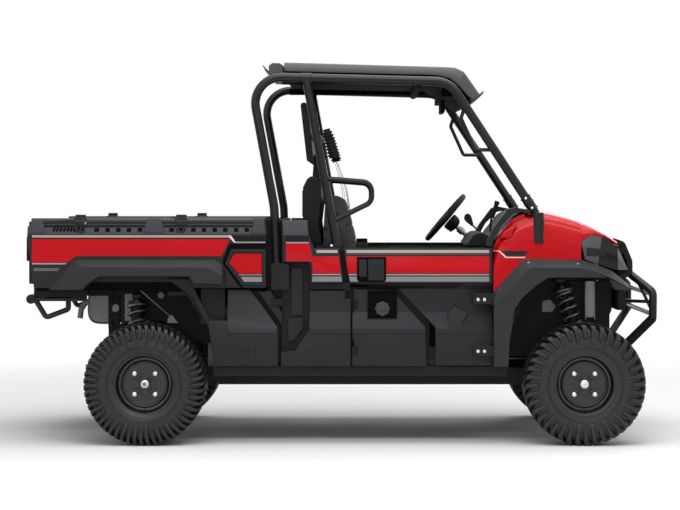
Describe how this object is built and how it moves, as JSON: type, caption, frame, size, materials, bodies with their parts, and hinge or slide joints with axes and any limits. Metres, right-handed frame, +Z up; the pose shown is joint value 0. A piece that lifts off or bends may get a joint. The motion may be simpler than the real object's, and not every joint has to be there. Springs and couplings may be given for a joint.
{
  "type": "side by side utv",
  "caption": "Four-wheel utility side-by-side with one bench seat, roll cage and roof, half doors that open, steered front wheels and a tipping cargo bed with a tailgate.",
  "frame": {"origin": "on the ground, midway along, across the vehicle", "axes": "+X forward, +Y to the vehicle's left, +Z up"},
  "size_m": [3.412, 1.624, 2.051],
  "materials": {
    "black_plastic": "grained",
    "red_panel": "metallic gloss",
    "black_steel": "satin",
    "roof_plastic": "satin",
    "cast_metal": "cast",
    "shaft_steel": "satin",
    "seat_vinyl": "vinyl",
    "lamp_lens": "clear over black",
    "tyre": "matte",
    "wheel_paint": "gloss"
  },
  "bodies": {
    "chassis": {"main_rails": "black_steel", "crossmembers": "black_steel", "tower_legs": "black_steel", "upper_rails": "black_steel", "sills": "black_plastic", "skid_plate": "black_plastic", "floor_pan": "black_plastic", "seat_base": "black_plastic", "bulkhead": "black_plastic", "engine_block": "cast_metal", "gear_cases": "cast_metal", "drive_shafts": "shaft_steel", "muffler": "shaft_steel", "suspension_arms": "black_steel", "dampers": "black_steel", "coil_springs": "black_steel", "rear_carriers": "black_steel", "cage_right": "black_steel", "cage_left": "black_steel", "cage_crossbars": "black_steel", "pillar_covers": "black_plastic", "roof": "roof_plastic", "seat_cushion": "seat_vinyl", "seat_back": "seat_vinyl", "rear_panel": "black_plastic", "dash": "black_plastic", "steering_column": "black_plastic", "levers": "black_plastic", "bonnet": "red_panel", "wing_right": "red_panel", "wing_left": "red_panel", "headlamps": "lamp_lens", "grille": "black_plastic", "front_flares": "black_plastic", "quarter_panels": "red_panel", "lower_panels": "black_plastic", "fuel_cap": "black_plastic", "mudguards": "black_plastic", "front_bumper": "black_steel", "tow_hitch": "black_steel"},
    "steering_wheel": {"steering_wheel": "black_plastic"},
    "knuckle_right": {"knuckle_right": "black_steel"},
    "knuckle_left": {"knuckle_left": "black_steel"},
    "wheel_front_right": {"tyre_front_right": "tyre", "rim_front_right": "wheel_paint"},
    "wheel_front_left": {"tyre_front_left": "tyre", "rim_front_left": "wheel_paint"},
    "wheel_rear_right": {"tyre_rear_right": "tyre", "rim_rear_right": "wheel_paint"},
    "wheel_rear_left": {"tyre_rear_left": "tyre", "rim_rear_left": "wheel_paint"},
    "door_right": {"door_right": "red_panel"},
    "door_left": {"door_left": "red_panel"},
    "bed": {"bed_tub": "black_steel", "bed_sides": "red_panel", "bed_rails": "black_steel", "rear_flares": "black_plastic", "rear_bar": "black_steel"},
    "tailgate": {"tailgate": "black_steel"}
  },
  "joints": [
    {"name": "steering", "type": "hinge", "parent": "chassis", "child": "steering_wheel", "pos_m": [0.592, 0.35, 1.205], "axis": [-0.7615, 0, 0.6481], "range_deg": [-540, 540]},
    {"name": "steer_right", "type": "hinge", "parent": "chassis", "child": "knuckle_right", "pos_m": [1.289, -0.6, 0.325], "axis": [0, 0, 1], "range_deg": [-30, 30]},
    {"name": "steer_left", "type": "hinge", "parent": "chassis", "child": "knuckle_left", "pos_m": [1.289, 0.6, 0.325], "axis": [0, 0, 1], "range_deg": [-30, 30]},
    {"name": "spin_front_right", "type": "hinge", "parent": "knuckle_right", "child": "wheel_front_right", "pos_m": [1.289, -0.6975, 0.325], "axis": [0, 1, 0], "continuous": true},
    {"name": "spin_front_left", "type": "hinge", "parent": "knuckle_left", "child": "wheel_front_left", "pos_m": [1.289, 0.6975, 0.325], "axis": [0, 1, 0], "continuous": true},
    {"name": "spin_rear_right", "type": "hinge", "parent": "chassis", "child": "wheel_rear_right", "pos_m": [-1.056, -0.6725, 0.325], "axis": [0, 1, 0], "continuous": true},
    {"name": "spin_rear_left", "type": "hinge", "parent": "chassis", "child": "wheel_rear_left", "pos_m": [-1.056, 0.6725, 0.325], "axis": [0, 1, 0], "continuous": true},
    {"name": "door_right_swing", "type": "hinge", "parent": "chassis", "child": "door_right", "pos_m": [0.8015, -0.762, 0.64], "axis": [0, 0, 1], "range_deg": [0, 68]},
    {"name": "door_left_swing", "type": "hinge", "parent": "chassis", "child": "door_left", "pos_m": [0.8015, 0.762, 0.64], "axis": [0, 0, -1], "range_deg": [0, 68]},
    {"name": "bed_tip", "type": "hinge", "parent": "chassis", "child": "bed", "pos_m": [-1.48, 0, 0.804], "axis": [0, -1, 0], "range_deg": [0, 45]},
    {"name": "tailgate_drop", "type": "hinge", "parent": "bed", "child": "tailgate", "pos_m": [-1.666, 0, 0.872], "axis": [0, -1, 0], "range_deg": [0, 90]}
  ],
  "couplings": [
    {"joint": "steer_right", "follows": "steering", "ratio": 0.0555},
    {"joint": "steer_left", "follows": "steering", "ratio": 0.0555}
  ]
}
